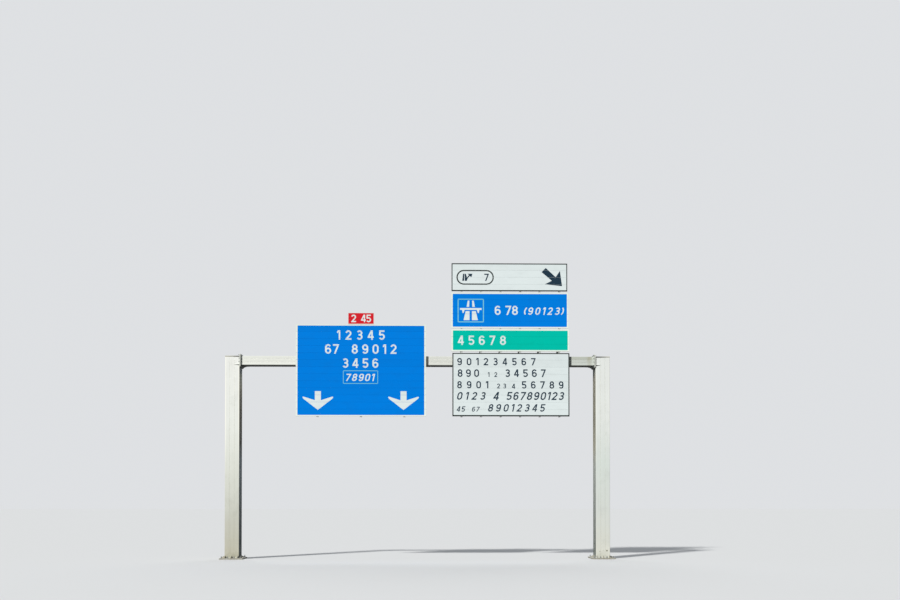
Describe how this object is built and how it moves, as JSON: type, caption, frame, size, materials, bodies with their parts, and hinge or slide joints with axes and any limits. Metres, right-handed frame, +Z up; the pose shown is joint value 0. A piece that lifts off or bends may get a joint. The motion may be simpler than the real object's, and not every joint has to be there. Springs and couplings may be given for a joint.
{
  "type": "overhead sign gantry",
  "caption": "Aluminium portal over a carriageway: fluted box posts and beam on bolted corner flanges, with a direction sign, a route plate and a stack of panels on clamped supports.",
  "frame": {"origin": "on the ground, midway between the two posts", "axes": "+X along the beam towards the panel stack, sign faces look along -Y, +Z up"},
  "size_m": [16.25, 1.6, 12.22],
  "materials": {
    "base": "weathered plate",
    "post": "weathered mill finish",
    "cap": "dirty plate",
    "flange": "weathered plate",
    "haunch": "weathered plate",
    "beam": "weathered mill finish",
    "support": "mill finish",
    "clamp": "galvanised",
    "rod": "galvanised",
    "sign_blue": "blue retroreflective film",
    "sign_red": "red retroreflective film",
    "sign_white": "white retroreflective film",
    "sign_green": "green retroreflective film",
    "sign_edge": "mill finish"
  },
  "bodies": {
    "root": {"left_base": "base", "right_base": "base", "left_foot_ribs": "base", "right_foot_ribs": "base", "left_post": "post", "right_post": "post", "left_post_cap": "cap", "right_post_cap": "cap", "left_post_flange": "flange", "right_post_flange": "flange", "left_beam_flange": "flange", "right_beam_flange": "flange", "left_haunch": "haunch", "right_haunch": "haunch", "beam": "beam", "blue_support_1": "support", "blue_support_2": "support", "blue_support_3": "support", "stack_support_1": "support", "stack_support_2": "support", "stack_support_3": "support", "stack_support_4": "support", "stack_support_5": "support", "stack_support_6": "support", "blue_clamp_straps": "clamp", "blue_clamp_rods": "rod", "stack_clamp_straps": "clamp", "stack_clamp_rods": "rod", "blue_panel": "sign_blue", "blue_panel_frame": "sign_edge", "route_plate": "sign_red", "route_plate_frame": "sign_edge", "exit_panel": "sign_white", "exit_panel_frame": "sign_edge", "motorway_panel": "sign_blue", "motorway_panel_frame": "sign_edge", "town_panel": "sign_green", "town_panel_frame": "sign_edge", "local_panel": "sign_white", "local_panel_frame": "sign_edge"}
  },
  "joints": []
}
